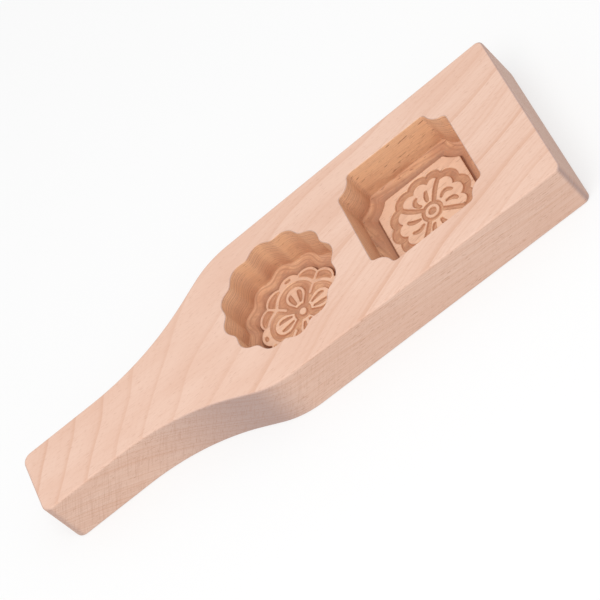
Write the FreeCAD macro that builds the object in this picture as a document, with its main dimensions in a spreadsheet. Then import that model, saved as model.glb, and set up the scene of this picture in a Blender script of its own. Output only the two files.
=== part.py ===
import FreeCAD, Part
import math
import os

import Sketcher
from FreeCAD import Placement, Rotation, Vector

# Two-cavity mooncake mould carved in one plank of beech.
# X runs from the handle to the head, Y across, Z up.
# The origin is the middle of the flat back face, so the cavities open upwards.

SIZES = (
    # the plank
    ("overall_length", 300.0, "handle end to head end"),
    ("thickness", 29.3, "back face to face with the cavities"),
    ("handle_width", 39.6, "straight part of the handle"),
    ("shoulder_width", 95.6, "head where the shoulder ends"),
    ("head_width", 100.8, "head at its far end"),
    ("head_length", 159.0, "shoulder end to head end"),
    ("neck_radius", 132.0, "hollow between handle and flank"),
    ("flank_angle", 29.0, "straight flank against the long axis, degrees"),
    ("shoulder_radius", 47.5, "round between flank and head"),
    ("corner_radius", 5.0, "upright corners of both ends"),
    ("edge_radius", 1.0, "eased edges of both broad faces"),
    # both cavities
    ("cavity_depth", 22.0, "face to cavity floor"),
    ("ledge_width", 4.5, "flat ledge along the foot of the wall"),
    ("border_width", 3.3, "groove between ledge and flower panel"),
    ("border_depth", 1.6, "border groove below the floor"),
    ("carving_depth", 1.1, "flower lines below the floor"),
    # round cavity
    ("round_from_square", 79.3, "between the two cavity centres"),
    ("round_shift", 1.9, "round cavity centre beside the long axis"),
    ("round_diameter", 65.2, "across opposite lobes"),
    ("scallop_depth", 2.4, "lobe tip to the ridge between lobes"),
    ("ridge_radius", 4.1, "ridge between two lobes of the wall"),
    ("panel_scallop", 2.4, "lobe tip to cusp on the flower panel"),
    # square cavity
    ("square_from_end", 66.2, "square cavity centre to head end"),
    ("square_shift", 1.0, "square cavity centre beside the long axis"),
    ("square_side", 65.5, "between opposite walls"),
    ("corner_bulge", 9.0, "wood left standing in each corner, radius"),
    ("bulge_ease", 2.5, "round between wall and corner bulge"),
    # flower in the round cavity
    ("bud_radius", 2.1, "button in the middle"),
    ("bud_groove", 2.4, "groove around the button"),
    ("petal_reach", 16.6, "centre to petal tip"),
    ("petal_radius", 5.5, "round end of a petal"),
    ("petal_foot", 3.2, "petal's width at the groove around the button"),
    ("petal_rim", 1.2, "raised line around and along a petal"),
    ("halo_gap", 2.9, "groove around a petal at its tip"),
    ("halo_radius", 10.4, "outer side of the groove around a petal"),
    ("lobe_vein_width", 2.3, "crescent cut in an outer lobe"),
    ("lobe_vein_radius", 5.2, "crescent cut, outer side"),
    ("lobe_vein_span", 130.0, "crescent cut, degrees from end to end"),
    ("seed_length", 3.2, "oval cut beyond each petal"),
    ("seed_width", 1.3, "oval cut beyond each petal"),
    # flower in the square cavity
    ("flower_turn", 7.0, "flower against the square, degrees"),
    ("eye_radius", 2.1, "hole in the middle ring"),
    ("ring_radius", 4.0, "middle ring, outside"),
    ("ring_groove", 1.8, "groove around the middle ring"),
    ("flower_radius", 19.4, "centre to petal edge"),
    ("rim_groove", 4.0, "groove around the petals"),
    ("petal_scallop", 1.9, "lobe tip to cusp on both sides of that groove"),
    ("split_width", 2.0, "groove between two petals"),
    ("vein_width", 1.7, "short groove in a petal"),
    ("vein_length", 5.5, "short groove in a petal, between its round ends"),
    ("vein_start", 8.2, "centre to the inner end of a short groove"),
    ("vein_angle", 16.0, "short groove against the petal's middle, degrees"),
)

LOBES = 12
PETALS = 4
SIDES = 4

VALUE = {name: value for name, value, note in SIZES}


def size(name):
    return VALUE[name]


def polar(radius, degrees, centre=(0.0, 0.0)):
    turn = math.radians(degrees)
    return (centre[0] + radius * math.cos(turn), centre[1] + radius * math.sin(turn))


class Drawing:
    """A sketch on the body's XY plane, raised and shifted by the sheet's values."""

    def __init__(self, body, name, height="0", across_x="0", across_y="0", turn=None):
        self.sketch = body.newObject("Sketcher::SketchObject", name)
        planes = [item for item in body.Origin.OriginFeatures if item.Role == "XY_Plane"]
        self.sketch.AttachmentSupport = (planes[0], "")
        self.sketch.MapMode = "FlatFace"
        self.sketch.AttachmentOffset = Placement(Vector(), Rotation(Vector(0, 0, 1), 1.0))
        self.sketch.setExpression("AttachmentOffset.Rotation.Angle", turn or "0")
        self.sketch.setExpression("AttachmentOffset.Base.x", across_x)
        self.sketch.setExpression("AttachmentOffset.Base.y", across_y)
        self.sketch.setExpression("AttachmentOffset.Base.z", height)

    def line(self, start, end):
        shape = Part.LineSegment(Vector(*start, 0), Vector(*end, 0))
        return self.sketch.addGeometry(shape, False)

    def arc(self, centre, radius, first, last):
        circle = Part.Circle(Vector(*centre, 0), Vector(0, 0, 1), radius)
        shape = Part.ArcOfCircle(circle, math.radians(first), math.radians(last))
        return self.sketch.addGeometry(shape, False)

    def circle(self, centre, radius):
        shape = Part.Circle(Vector(*centre, 0), Vector(0, 0, 1), radius)
        return self.sketch.addGeometry(shape, False)

    def point(self, place):
        return self.sketch.addGeometry(Part.Point(Vector(*place, 0)), True)

    def value(self, formula):
        """The number that a formula of the sheet's values gives now."""
        result = self.sketch.evalExpression(formula)
        return float(getattr(result, "Value", result))

    def rule(self, kind, *places):
        return self.sketch.addConstraint(Sketcher.Constraint(kind, *places))

    def join(self, *places):
        self.rule("Coincident", *places)

    def smooth(self, *places):
        self.rule("Tangent", *places)

    def measure(self, label, formula, kind, *places):
        """Add a dimension and bind it to a formula of the sheet's values."""
        start = self.value(formula)
        if kind == "Angle":
            start = math.radians(start)
        index = self.sketch.addConstraint(Sketcher.Constraint(kind, *places, start))
        self.sketch.renameConstraint(index, label)
        self.sketch.setExpression("Constraints." + label, formula)


START, END, CENTRE = 1, 2, 3
ORIGIN = (-1, 1)
X_AXIS = -1

FACE = "Sizes.thickness"
FLOOR = "Sizes.thickness - Sizes.cavity_depth"
ROUND_AT = ("Sizes.overall_length / 2 - Sizes.square_from_end - Sizes.round_from_square",
            "Sizes.round_shift")
ROUND_REACH = "Sizes.round_diameter / 2"
ROUND_PANEL = "Sizes.round_diameter / 2 - Sizes.ledge_width - Sizes.border_width"
SQUARE_CORNER = "Sizes.square_side / sqrt(2) - Sizes.corner_bulge"
BUD_EDGE = "Sizes.bud_radius + Sizes.bud_groove"
SQUARE_AT = ("Sizes.overall_length / 2 - Sizes.square_from_end", "Sizes.square_shift")


def fill_sheet(doc):
    sheet = doc.addObject("Spreadsheet::Sheet", "Sizes")
    for row, (name, value, note) in enumerate(SIZES, start=1):
        sheet.set("A%d" % row, name)
        sheet.set("B%d" % row, repr(value))
        sheet.set("C%d" % row, note)
        sheet.setAlias("B%d" % row, name)
    doc.recompute()


def cut(body, drawing, name, depth):
    """Cut the drawing down into the wood and check that wood went away."""
    before = body.Shape.Volume
    pocket = body.newObject("PartDesign::Pocket", name)
    pocket.Profile = drawing.sketch
    pocket.setExpression("Length", depth)
    body.Document.recompute()
    if not pocket.Shape.Volume < before:
        raise RuntimeError(name + " cuts nothing")
    return pocket


def repeat(body, features, axis_drawing, name, count):
    """Repeat cuts around the normal of the drawing that stands at their centre."""
    pattern = body.newObject("PartDesign::PolarPattern", name)
    pattern.Originals = features
    pattern.Axis = (axis_drawing.sketch, ["N_Axis"])
    pattern.Angle = 360.0
    pattern.Occurrences = count
    body.Tip = pattern
    body.Document.recompute()
    return pattern


def plank_outline(body):
    """Half of the plank's outline, closed along the long axis."""
    half_length = size("overall_length") / 2
    corner = size("corner_radius")
    handle_side = size("handle_width") / 2
    shoulder_y = size("shoulder_width") / 2
    head_y = size("head_width") / 2
    shoulder_x = half_length - size("head_length")
    flank = size("flank_angle")
    flare = math.degrees(math.atan2(head_y - shoulder_y, size("head_length") - corner))
    shoulder_centre = polar(size("shoulder_radius"), flare - 90, (shoulder_x, shoulder_y))
    flank_top = polar(size("shoulder_radius"), flank + 90, shoulder_centre)
    neck_rise = size("neck_radius") * (1 - math.cos(math.radians(flank)))
    flank_run = (flank_top[1] - handle_side - neck_rise) / math.sin(math.radians(flank))
    flank_foot = polar(flank_run, flank + 180, flank_top)
    neck_centre = polar(size("neck_radius"), flank + 90, flank_foot)

    draw = Drawing(body, "plank_outline")
    axis = draw.line((half_length, 0), (-half_length, 0))
    handle_end = draw.line((-half_length, 0), (-half_length, handle_side - corner))
    handle_corner = draw.arc((corner - half_length, handle_side - corner), corner, 90, 180)
    handle = draw.line((corner - half_length, handle_side), (neck_centre[0], handle_side))
    neck = draw.arc(neck_centre, size("neck_radius"), 270, 270 + flank)
    side = draw.line(flank_foot, flank_top)
    shoulder = draw.arc(shoulder_centre, size("shoulder_radius"), 90 + flare, 90 + flank)
    head = draw.line((shoulder_x, shoulder_y), (half_length - corner, head_y))
    head_corner = draw.arc((half_length - corner, head_y - corner), corner, 0, 90 + flare)
    head_end = draw.line((half_length, head_y - corner), (half_length, 0))

    draw.join(axis, START, head_end, END)
    draw.join(axis, END, handle_end, START)
    draw.rule("PointOnObject", axis, START, X_AXIS)
    draw.rule("PointOnObject", axis, END, X_AXIS)
    draw.rule("Vertical", handle_end)
    draw.rule("Vertical", head_end)
    draw.rule("Horizontal", handle)
    draw.smooth(handle_end, END, handle_corner, END)
    draw.smooth(handle_corner, START, handle, START)
    draw.smooth(handle, END, neck, START)
    draw.smooth(neck, END, side, START)
    draw.smooth(side, END, shoulder, END)
    draw.smooth(shoulder, START, head, START)
    draw.smooth(head, END, head_corner, END)
    draw.smooth(head_corner, START, head_end, START)
    half = "Sizes.overall_length / 2"
    draw.measure("front_half", half, "DistanceX", *ORIGIN, axis, START)
    draw.measure("rear_half", half, "DistanceX", axis, END, *ORIGIN)
    draw.measure("handle_half", "Sizes.handle_width / 2", "DistanceY", *ORIGIN, handle, START)
    draw.measure("head_run", "Sizes.head_length", "DistanceX", head, START, axis, START)
    draw.measure("shoulder_half", "Sizes.shoulder_width / 2", "DistanceY", *ORIGIN, head, START)
    draw.measure("head_half", "Sizes.head_width / 2", "DistanceY", *ORIGIN, head, END)
    draw.measure("neck_size", "Sizes.neck_radius", "Radius", neck)
    draw.measure("shoulder_size", "Sizes.shoulder_radius", "Radius", shoulder)
    draw.measure("head_corner_size", "Sizes.corner_radius", "Radius", head_corner)
    draw.measure("handle_corner_size", "Sizes.corner_radius", "Radius", handle_corner)
    draw.measure("flank_slope", "Sizes.flank_angle", "Angle", side)
    return draw


def make_plank(body):
    outline = plank_outline(body)
    pad = body.newObject("PartDesign::Pad", "half_plank")
    pad.Profile = outline.sketch
    pad.setExpression("Length", "Sizes.thickness")
    body.Document.recompute()

    whole = body.newObject("PartDesign::Mirrored", "plank")
    whole.Originals = [pad]
    whole.MirrorPlane = (outline.sketch, ["H_Axis"])
    body.Tip = whole
    body.Document.recompute()

    broad_faces = []
    for number, face in enumerate(whole.Shape.Faces, start=1):
        if abs(face.normalAt(0, 0).z) > 0.99:
            broad_faces.append("Face%d" % number)
    eased = body.newObject("PartDesign::Fillet", "eased_edges")
    eased.Base = (whole, broad_faces)
    eased.setExpression("Radius", "Sizes.edge_radius")
    body.Document.recompute()


def wedge_side(draw, degrees, near, far, label):
    """One straight side of a wedge, on a line through the centre.

    near and far are formulas for the distances of its ends from the centre.
    """
    first = draw.value(near)
    side = draw.line(polar(first, degrees), polar(draw.value(far), degrees))
    draw.measure(label + "_turn", "%r" % degrees, "Angle", side)
    if first:
        draw.rule("PointOnObject", *ORIGIN, side)
        draw.measure(label + "_near", near, "Distance", *ORIGIN, side, START)
    else:
        draw.join(side, START, *ORIGIN)
    draw.measure(label + "_far", far, "Distance", *ORIGIN, side, END)
    return side


def tip_on(draw, arc, reach, label):
    """Hold an arc's tip on the X axis at a distance from the centre."""
    tip = draw.point((draw.value(reach), 0))
    draw.rule("PointOnObject", tip, START, X_AXIS)
    draw.rule("PointOnObject", tip, START, arc)
    draw.measure(label, reach, "DistanceX", *ORIGIN, tip, START)


def ridge_to_ridge(draw, low_side, high_side, reach, ridge):
    """One lobe of the round wall between two ridges, joined to two wedge sides.

    reach and ridge are formulas: centre to lobe tip, and the ridge's radius.
    """
    half_turn = 180 / LOBES
    tip = draw.value(reach)
    ridge_size = draw.value(ridge)
    far = tip - size("scallop_depth") + ridge_size
    along = far * math.cos(math.radians(half_turn))
    lobe_size = tip ** 2 + far ** 2 - 2 * tip * along - ridge_size ** 2
    lobe_size = lobe_size / (2 * (ridge_size + tip - along))
    lobe_centre = (tip - lobe_size, 0)
    high_centre = polar(far, half_turn)
    lean = math.degrees(math.atan2(high_centre[1], high_centre[0] - lobe_centre[0]))

    low = draw.arc(polar(far, -half_turn), ridge_size, 180 - lean, 180 - half_turn)
    lobe = draw.arc(lobe_centre, lobe_size, -lean, lean)
    high = draw.arc(high_centre, ridge_size, 180 + half_turn, 180 + lean)
    draw.smooth(low, START, lobe, START)
    draw.smooth(lobe, END, high, END)
    draw.join(low, END, low_side, END)
    draw.join(high, START, high_side, END)
    draw.rule("PointOnObject", low, CENTRE, low_side)
    draw.rule("PointOnObject", high, CENTRE, high_side)
    tip_on(draw, lobe, reach, "lobe_tip")


def cusp_to_cusp(draw, low_side, high_side, end, reach, cusp, label):
    """One lobe with sharp cusps, from one wedge side's end to the other's."""
    turn = math.radians(180 / LOBES)
    tip = draw.value(reach)
    near = draw.value(cusp)
    along = near * math.cos(turn)
    across = near * math.sin(turn)
    rise = tip - along
    radius = (across ** 2 + rise ** 2) / (2 * rise)
    lean = math.degrees(math.atan2(across, radius - rise))
    arc = draw.arc((tip - radius, 0), radius, -lean, lean)
    draw.join(arc, START, low_side, end)
    draw.join(arc, END, high_side, end)
    tip_on(draw, arc, reach, label)


def round_wall(body):
    """A wedge of the round cavity, one lobe wide."""
    draw = Drawing(body, "round_wall", FACE, *ROUND_AT)
    valley = ROUND_REACH + " - Sizes.scallop_depth"
    low_side = wedge_side(draw, -180 / LOBES, "0", valley, "low")
    high_side = wedge_side(draw, 180 / LOBES, "0", valley, "high")
    ridge_to_ridge(draw, low_side, high_side, ROUND_REACH, "Sizes.ridge_radius")
    return draw


def round_border(body):
    """A wedge of the groove between the ledge and the round flower panel."""
    draw = Drawing(body, "round_border", FLOOR, *ROUND_AT)
    outer = ROUND_REACH + " - Sizes.ledge_width"
    valley = outer + " - Sizes.scallop_depth"
    cusp = ROUND_PANEL + " - Sizes.panel_scallop"
    low_side = wedge_side(draw, -180 / LOBES, cusp, valley, "low")
    high_side = wedge_side(draw, 180 / LOBES, cusp, valley, "high")
    ridge_to_ridge(draw, low_side, high_side, outer, "Sizes.ridge_radius + Sizes.ledge_width")
    cusp_to_cusp(draw, low_side, high_side, START, ROUND_PANEL, cusp, "panel_tip")
    return draw


def at_corner(draw, arc, sign, label):
    """Centre an arc on a corner of the square, above or below the X axis."""
    half = "Sizes.square_side / 2"
    draw.measure(label + "_across", half, "DistanceX", *ORIGIN, arc, CENTRE)
    draw.measure(label + "_up", "%d * %s" % (sign, half), "DistanceY", *ORIGIN, arc, CENTRE)


def square_wall(body):
    """A quarter of the square cavity, with half a bulge in each corner."""
    draw = Drawing(body, "square_wall", FACE, *SQUARE_AT)
    half = size("square_side") / 2
    bulge = size("corner_bulge")
    ease = size("bulge_ease")
    drop = half - math.sqrt((bulge + ease) ** 2 - ease ** 2)
    lean = math.degrees(math.asin(ease / (bulge + ease)))
    low_side = wedge_side(draw, -180 / SIDES, "0", SQUARE_CORNER, "low")
    high_side = wedge_side(draw, 180 / SIDES, "0", SQUARE_CORNER, "high")
    low = draw.arc((half, -half), bulge, 90 + lean, 135)
    high = draw.arc((half, half), bulge, 225, 270 - lean)
    low_ease = draw.arc((half - ease, -drop), ease, lean - 90, 0)
    high_ease = draw.arc((half - ease, drop), ease, 0, 90 - lean)
    wall = draw.line((half, -drop), (half, drop))
    draw.join(low, END, low_side, END)
    draw.join(high, START, high_side, END)
    draw.smooth(low, START, low_ease, START)
    draw.smooth(high, END, high_ease, END)
    draw.smooth(low_ease, END, wall, START)
    draw.smooth(wall, END, high_ease, START)
    draw.rule("Vertical", wall)
    draw.measure("wall_out", "Sizes.square_side / 2", "DistanceX", *ORIGIN, wall, START)
    draw.measure("low_ease_size", "Sizes.bulge_ease", "Radius", low_ease)
    draw.measure("high_ease_size", "Sizes.bulge_ease", "Radius", high_ease)
    at_corner(draw, low, -1, "low_bulge")
    at_corner(draw, high, 1, "high_bulge")
    return draw


def square_border(body):
    """A quarter of the groove between the ledge and the square flower panel."""
    draw = Drawing(body, "square_border", FLOOR, *SQUARE_AT)
    outer = "Sizes.ledge_width"
    inner = "(Sizes.ledge_width + Sizes.border_width)"
    near = SQUARE_CORNER + " - " + inner
    far = SQUARE_CORNER + " - " + outer
    low_side = wedge_side(draw, -180 / SIDES, near, far, "low")
    high_side = wedge_side(draw, 180 / SIDES, near, far, "high")
    half = size("square_side") / 2
    for inset, end, label in ((inner, START, "inner"), (outer, END, "outer")):
        step = draw.value(inset)
        bulge = size("corner_bulge") + step
        lean = math.degrees(math.asin(step / bulge))
        drop = half - math.sqrt(bulge ** 2 - step ** 2)
        low = draw.arc((half, -half), bulge, 90 + lean, 135)
        high = draw.arc((half, half), bulge, 225, 270 - lean)
        line = draw.line((half - step, -drop), (half - step, drop))
        draw.join(low, END, low_side, end)
        draw.join(high, START, high_side, end)
        draw.join(low, START, line, START)
        draw.join(line, END, high, END)
        draw.rule("Vertical", line)
        out = "Sizes.square_side / 2 - " + inset
        draw.measure(label + "_out", out, "DistanceX", *ORIGIN, line, START)
        at_corner(draw, low, -1, label + "_low")
        at_corner(draw, high, 1, label + "_high")
    return draw


def rings(body, name, place, turn, radii):
    """Circles about a cavity's centre, one inside the other."""
    draw = Drawing(body, name, FLOOR, *place, turn)
    for number, radius in enumerate(radii):
        ring = draw.circle((0, 0), draw.value(radius))
        draw.join(ring, CENTRE, *ORIGIN)
        draw.measure("ring_%d" % number, radius, "Radius", ring)
    return draw


def slot(draw, left, right, width, level="0"):
    """A slot along the X axis or level with it, with round ends."""
    radius = draw.value(width) / 2
    height = draw.value(level)
    near = draw.value(left)
    far = draw.value(right)
    left_end = draw.arc((near, height), radius, 90, 270)
    right_end = draw.arc((far, height), radius, -90, 90)
    bottom = draw.line((near, height - radius), (far, height - radius))
    top = draw.line((far, height + radius), (near, height + radius))
    draw.smooth(left_end, END, bottom, START)
    draw.smooth(bottom, END, right_end, START)
    draw.smooth(right_end, END, top, START)
    draw.smooth(top, END, left_end, START)
    draw.measure("round_end", width + " / 2", "Radius", left_end)
    draw.measure("left", left, "DistanceX", *ORIGIN, left_end, CENTRE)
    draw.measure("right", right, "DistanceX", *ORIGIN, right_end, CENTRE)
    for end, label in ((left_end, "left_level"), (right_end, "right_level")):
        if height:
            draw.measure(label, level, "DistanceY", *ORIGIN, end, CENTRE)
        else:
            draw.rule("PointOnObject", end, CENTRE, X_AXIS)


def petal_halo(body):
    """The groove around one petal, out to the raised line that it shares."""
    draw = Drawing(body, "petal_halo", FLOOR, *ROUND_AT)
    reach = size("petal_reach")
    petal = size("petal_radius")
    halo = size("halo_radius")
    halo_x = reach + size("halo_gap") - halo
    foot_y = size("petal_foot") / 2
    inner = size("bud_radius") + size("bud_groove")
    root = (math.sqrt(inner ** 2 - foot_y ** 2), foot_y)
    petal_x = reach - petal
    away = math.atan2(foot_y, petal_x - root[0])
    gap = math.hypot(foot_y, petal_x - root[0])
    touch = 180 - math.degrees(away + math.acos(petal / gap))
    between = size("petal_rim") / 2
    corner = 180 / PETALS
    near = math.degrees(math.asin(between / inner))
    near_end = polar(inner, corner - near)
    along = math.radians(corner)
    offset = (between * math.sin(along), -between * math.cos(along))
    lean = (halo_x - offset[0]) * math.cos(along) + (0 - offset[1]) * math.sin(along)
    miss = (halo_x - offset[0]) * math.sin(along) - (0 - offset[1]) * math.cos(along)
    run = lean + math.sqrt(halo ** 2 - miss ** 2)
    far_end = (offset[0] + run * math.cos(along), offset[1] + run * math.sin(along))
    spread = math.degrees(math.atan2(far_end[1], far_end[0] - halo_x))
    touch_at = polar(petal, touch, (petal_x, 0))

    arc = draw.arc((petal_x, 0), petal, -touch, touch)
    outside = draw.arc((halo_x, 0), halo, -spread, spread)
    draw.rule("PointOnObject", arc, CENTRE, X_AXIS)
    draw.rule("PointOnObject", outside, CENTRE, X_AXIS)
    centre = "Sizes.petal_reach - Sizes.petal_radius"
    draw.measure("petal_centre", centre, "DistanceX", *ORIGIN, arc, CENTRE)
    draw.measure("petal_size", "Sizes.petal_radius", "Radius", arc)
    centre = "Sizes.petal_reach + Sizes.halo_gap - Sizes.halo_radius"
    draw.measure("halo_centre", centre, "DistanceX", *ORIGIN, outside, CENTRE)
    draw.measure("halo_size", "Sizes.halo_radius", "Radius", outside)
    for sign, petal_end, label in ((-1, START, "low"), (1, END, "high")):
        flank = draw.line((root[0], sign * root[1]), (touch_at[0], sign * touch_at[1]))
        foot = draw.line((near_end[0], sign * near_end[1]), (root[0], sign * root[1]))
        side = draw.line((near_end[0], sign * near_end[1]), (far_end[0], sign * far_end[1]))
        draw.smooth(flank, END, arc, petal_end)
        draw.join(foot, END, flank, START)
        draw.join(foot, START, side, START)
        draw.join(side, END, outside, petal_end)
        draw.measure(label + "_root", BUD_EDGE, "Distance", *ORIGIN, flank, START)
        draw.measure(label + "_foot", "%d * Sizes.petal_foot / 2" % sign, "DistanceY",
                     *ORIGIN, flank, START)
        draw.measure(label + "_near", BUD_EDGE, "Distance", *ORIGIN, side, START)
        draw.measure(label + "_turn", "%r" % (sign * corner), "Angle", side)
        draw.measure(label + "_line", "Sizes.petal_rim / 2", "Distance", *ORIGIN, side)
    return draw


def petal_leaves(body):
    """Two cuts in one petal, either side of its raised middle line."""
    draw = Drawing(body, "petal_leaves", FLOOR, *ROUND_AT)
    radius = size("petal_radius") - size("petal_rim")
    middle = size("petal_reach") - size("petal_radius")
    half_rim = size("petal_rim") / 2
    root = draw.value(BUD_EDGE + " + Sizes.petal_rim")
    first = math.degrees(math.asin(half_rim / radius))
    gap = math.hypot(middle - root, half_rim)
    last = 180 - math.degrees(math.acos(radius / gap) + math.atan2(half_rim, middle - root))
    touch = polar(radius, last, (middle, 0))
    end_x = middle + math.sqrt(radius ** 2 - half_rim ** 2)
    for sign, label in ((1, "high"), (-1, "low")):
        ends = (first, last) if sign > 0 else (-last, -first)
        arc = draw.arc((middle, 0), radius, *ends)
        near_tip, near_root = (START, END) if sign > 0 else (END, START)
        rib = draw.line((root, sign * half_rim), (end_x, sign * half_rim))
        side = draw.line((root, sign * half_rim), (touch[0], sign * touch[1]))
        draw.rule("Horizontal", rib)
        draw.join(rib, START, side, START)
        draw.join(rib, END, arc, near_tip)
        draw.smooth(side, END, arc, near_root)
        draw.rule("PointOnObject", arc, CENTRE, X_AXIS)
        draw.measure(label + "_middle", "Sizes.petal_reach - Sizes.petal_radius", "DistanceX",
                     *ORIGIN, arc, CENTRE)
        draw.measure(label + "_size", "Sizes.petal_radius - Sizes.petal_rim", "Radius", arc)
        draw.measure(label + "_root", BUD_EDGE + " + Sizes.petal_rim", "DistanceX",
                     *ORIGIN, rib, START)
        draw.measure(label + "_rib", "%d * Sizes.petal_rim / 2" % sign, "DistanceY",
                     *ORIGIN, rib, START)
    return draw


def lobe_vein(body, turn):
    """A crescent cut in one outer lobe of the round flower."""
    draw = Drawing(body, "lobe_vein_%d" % turn, FLOOR, *ROUND_AT, "%d" % turn)
    outer = size("lobe_vein_radius")
    inner = outer - size("lobe_vein_width")
    span = size("lobe_vein_span") / 2
    middle = draw.value(ROUND_PANEL) - size("petal_rim") - outer
    centre = (middle, 0)
    outside = draw.arc(centre, outer, -span, span)
    inside = draw.arc(centre, inner, -span, span)
    draw.join(outside, CENTRE, inside, CENTRE)
    draw.rule("PointOnObject", outside, CENTRE, X_AXIS)
    draw.measure("middle", ROUND_PANEL + " - Sizes.petal_rim - Sizes.lobe_vein_radius",
                 "DistanceX", *ORIGIN, outside, CENTRE)
    draw.measure("outside", "Sizes.lobe_vein_radius", "Radius", outside)
    draw.measure("inside", "Sizes.lobe_vein_radius - Sizes.lobe_vein_width", "Radius", inside)
    for sign, end, label in ((-1, START, "low"), (1, END, "high")):
        side = draw.line(polar(inner, sign * span, centre), polar(outer, sign * span, centre))
        draw.join(side, START, inside, end)
        draw.join(side, END, outside, end)
        draw.measure(label, "%d * Sizes.lobe_vein_span / 2" % sign, "Angle", side)
    return draw


def carve_round(body):
    """The round cavity: wall, floor, border groove and its flower."""
    wall = round_wall(body)
    repeat(body, [cut(body, wall, "round_lobe", "Sizes.cavity_depth")], wall, "round_cavity", LOBES)
    border = round_border(body)
    groove = cut(body, border, "round_border_lobe", "Sizes.border_depth")
    repeat(body, [groove], border, "round_border_groove", LOBES)

    bud = rings(body, "bud_rings", ROUND_AT, "0", ("Sizes.bud_radius", BUD_EDGE))
    cut(body, bud, "bud_ring_groove", "Sizes.carving_depth")
    seed = Drawing(body, "seed_slot", FLOOR, *ROUND_AT, "90")
    half_seed = "(Sizes.seed_length - Sizes.seed_width) / 2"
    slot(seed, "-" + half_seed, half_seed, "Sizes.seed_width",
         "Sizes.petal_rim + Sizes.seed_width / 2 - (" + ROUND_PANEL + ")")
    cuts = [
        cut(body, petal_halo(body), "petal_groove", "Sizes.carving_depth"),
        cut(body, petal_leaves(body), "petal_leaf_cuts", "Sizes.carving_depth"),
        cut(body, lobe_vein(body, 360 // LOBES), "lobe_cut_near", "Sizes.carving_depth"),
        cut(body, lobe_vein(body, 720 // LOBES), "lobe_cut_far", "Sizes.carving_depth"),
        cut(body, seed, "seed_cut", "Sizes.carving_depth"),
    ]
    repeat(body, cuts, bud, "round_flower", PETALS)


def petal_edges(body):
    """A wedge of the groove around the square cavity's flower."""
    draw = Drawing(body, "petal_edges", FLOOR, *SQUARE_AT, "Sizes.flower_turn")
    inner = "Sizes.flower_radius"
    outer = "Sizes.flower_radius + Sizes.rim_groove"
    scallop = " - Sizes.petal_scallop"
    low_side = wedge_side(draw, -180 / LOBES, inner + scallop, outer + scallop, "low")
    high_side = wedge_side(draw, 180 / LOBES, inner + scallop, outer + scallop, "high")
    cusp_to_cusp(draw, low_side, high_side, START, inner, inner + scallop, "inner_tip")
    cusp_to_cusp(draw, low_side, high_side, END, outer, outer + scallop, "outer_tip")
    return draw


def carve_square(body):
    """The square cavity: wall, floor, border groove and its flower."""
    wall = square_wall(body)
    quarter = cut(body, wall, "square_quarter", "Sizes.cavity_depth")
    repeat(body, [quarter], wall, "square_cavity", SIDES)
    border = square_border(body)
    groove = cut(body, border, "square_border_quarter", "Sizes.border_depth")
    repeat(body, [groove], border, "square_border_groove", SIDES)

    edges = petal_edges(body)
    edge_cut = cut(body, edges, "petal_edge_cut", "Sizes.carving_depth")
    repeat(body, [edge_cut], edges, "petal_edge_groove", LOBES)
    ring_edge = "Sizes.ring_radius + Sizes.ring_groove"
    eye = rings(body, "eye_rings", SQUARE_AT, "Sizes.flower_turn",
                ("Sizes.eye_radius", "Sizes.ring_radius", ring_edge))
    cut(body, eye, "eye_ring_groove", "Sizes.carving_depth")

    split = Drawing(body, "petal_split", FLOOR, *SQUARE_AT,
                    "Sizes.flower_turn + %r" % (180 / PETALS))
    slot(split, ring_edge, "Sizes.flower_radius - Sizes.petal_scallop", "Sizes.split_width")
    cuts = [cut(body, split, "split_cut", "Sizes.carving_depth")]
    for sign, label in (("-", "low"), ("+", "high")):
        turn = "Sizes.flower_turn %s Sizes.vein_angle" % sign
        vein = Drawing(body, "vein_" + label, FLOOR, *SQUARE_AT, turn)
        slot(vein, "Sizes.vein_start", "Sizes.vein_start + Sizes.vein_length", "Sizes.vein_width")
        cuts.append(cut(body, vein, "vein_cut_" + label, "Sizes.carving_depth"))
    repeat(body, cuts, eye, "square_flower", PETALS)


def check(doc):
    """Stop if any object of the document failed or holds no sound shape."""
    for item in doc.Objects:
        if "Invalid" in item.State or "Error" in item.State:
            raise RuntimeError("%s failed" % item.Name)
        if item.isDerivedFrom("PartDesign::Feature") and not item.Shape.isValid():
            raise RuntimeError("%s has a bad shape" % item.Name)
        if item.isDerivedFrom("Sketcher::SketchObject") and item.solve() != 0:
            raise RuntimeError("%s is not solved" % item.Name)


def main():
    doc = FreeCAD.newDocument("mooncake_mould")
    fill_sheet(doc)
    body = doc.addObject("PartDesign::Body", "mould_body")
    body.Label = "mould_body"
    body.Placement = Placement(Vector(0, 0, 0), Rotation())
    make_plank(body)
    carve_round(body)
    carve_square(body)
    doc.recompute()
    check(doc)
    shape = body.Shape
    if shape.isNull() or not shape.isValid() or len(shape.Solids) != 1:
        raise RuntimeError("the mould is not one sound solid")
    os.makedirs("parts", exist_ok=True)
    shape.exportStep("parts/" + body.Label + ".step")
    box = shape.BoundBox
    print("mould %.2f x %.2f x %.2f mm" % (box.XLength, box.YLength, box.ZLength))


main()
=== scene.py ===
import math

import bmesh
import bpy
import numpy as np
from bpy.props import FloatProperty, FloatVectorProperty, IntProperty, PointerProperty
from mathutils import Matrix, Vector
from mathutils.geometry import tessellate_polygon


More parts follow.
